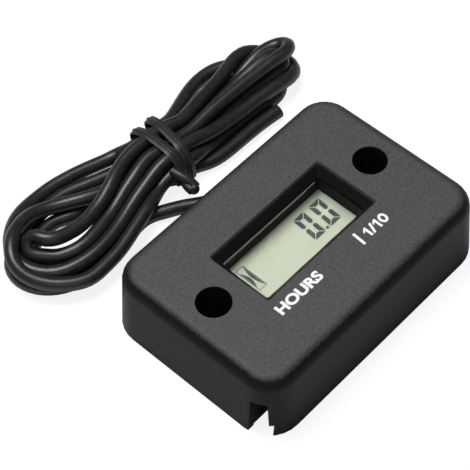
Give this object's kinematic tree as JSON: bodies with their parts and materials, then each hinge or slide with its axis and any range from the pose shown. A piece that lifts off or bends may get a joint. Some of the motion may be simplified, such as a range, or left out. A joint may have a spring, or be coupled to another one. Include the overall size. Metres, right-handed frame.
{
  "type": "hour meter",
  "caption": "Flat black potted hour meter with a small segment display behind a bezelled window, two screw wells and a pickup lead folded into a tied hank.",
  "frame": {"origin": "centre of the housing's base, on the surface it is screwed to", "axes": "+X along the housing's long side, in the legend's reading direction; +Y towards the lead outlet; +Z out of the window"},
  "size_m": [0.0777, 0.0689, 0.0153],
  "materials": {
    "housing": "black moulded plastic, fine spark-eroded grain",
    "lens": "clear polished acrylic",
    "inner_frame": "black moulded plastic",
    "display_film": "pale grey-green front film of the display",
    "display_glass": "display glass",
    "rear_film": "satin reflective film",
    "contact_rubber": "striped conductive rubber",
    "board": "green solder mask",
    "controller_resin": "black resin dome",
    "crystal_can": "plated can",
    "diode_glass": "orange glass",
    "capacitor_ceramic": "fired ceramic",
    "resistor_body": "glazed black",
    "cell_steel": "nickel-plated steel",
    "tab_nickel": "nickel strip",
    "solder": "bright solder",
    "potting": "cast black resin",
    "lead_insulation": "satin black PVC",
    "tie_sleeve": "black plastic over a wire core"
  },
  "bodies": {
    "root": {"cell_tab_bottom": "tab_nickel", "cell_tab_top": "tab_nickel", "chip_capacitor_1": "capacitor_ceramic", "chip_capacitor_2": "capacitor_ceramic", "chip_capacitor_3": "capacitor_ceramic", "chip_resistor_1": "resistor_body", "chip_resistor_2": "resistor_body", "chip_resistor_3": "resistor_body", "circuit_board": "board", "clamp_diode": "diode_glass", "coin_cell": "cell_steel", "contact_strip_far": "contact_rubber", "contact_strip_near": "contact_rubber", "controller_blob": "controller_resin", "housing": "housing", "lcd_frame": "inner_frame", "lcd_front_glass": "display_glass", "lcd_front_polariser": "display_film", "lcd_rear_glass": "display_glass", "lcd_rear_polariser": "rear_film", "lead_hank": "lead_insulation", "lead_solder_joint": "solder", "pickup_lead": "lead_insulation", "potting": "potting", "tie_band_1": "tie_sleeve", "tie_band_2": "tie_sleeve", "tie_tail": "tie_sleeve", "watch_crystal": "crystal_can", "window_lens": "lens"}
  },
  "joints": []
}
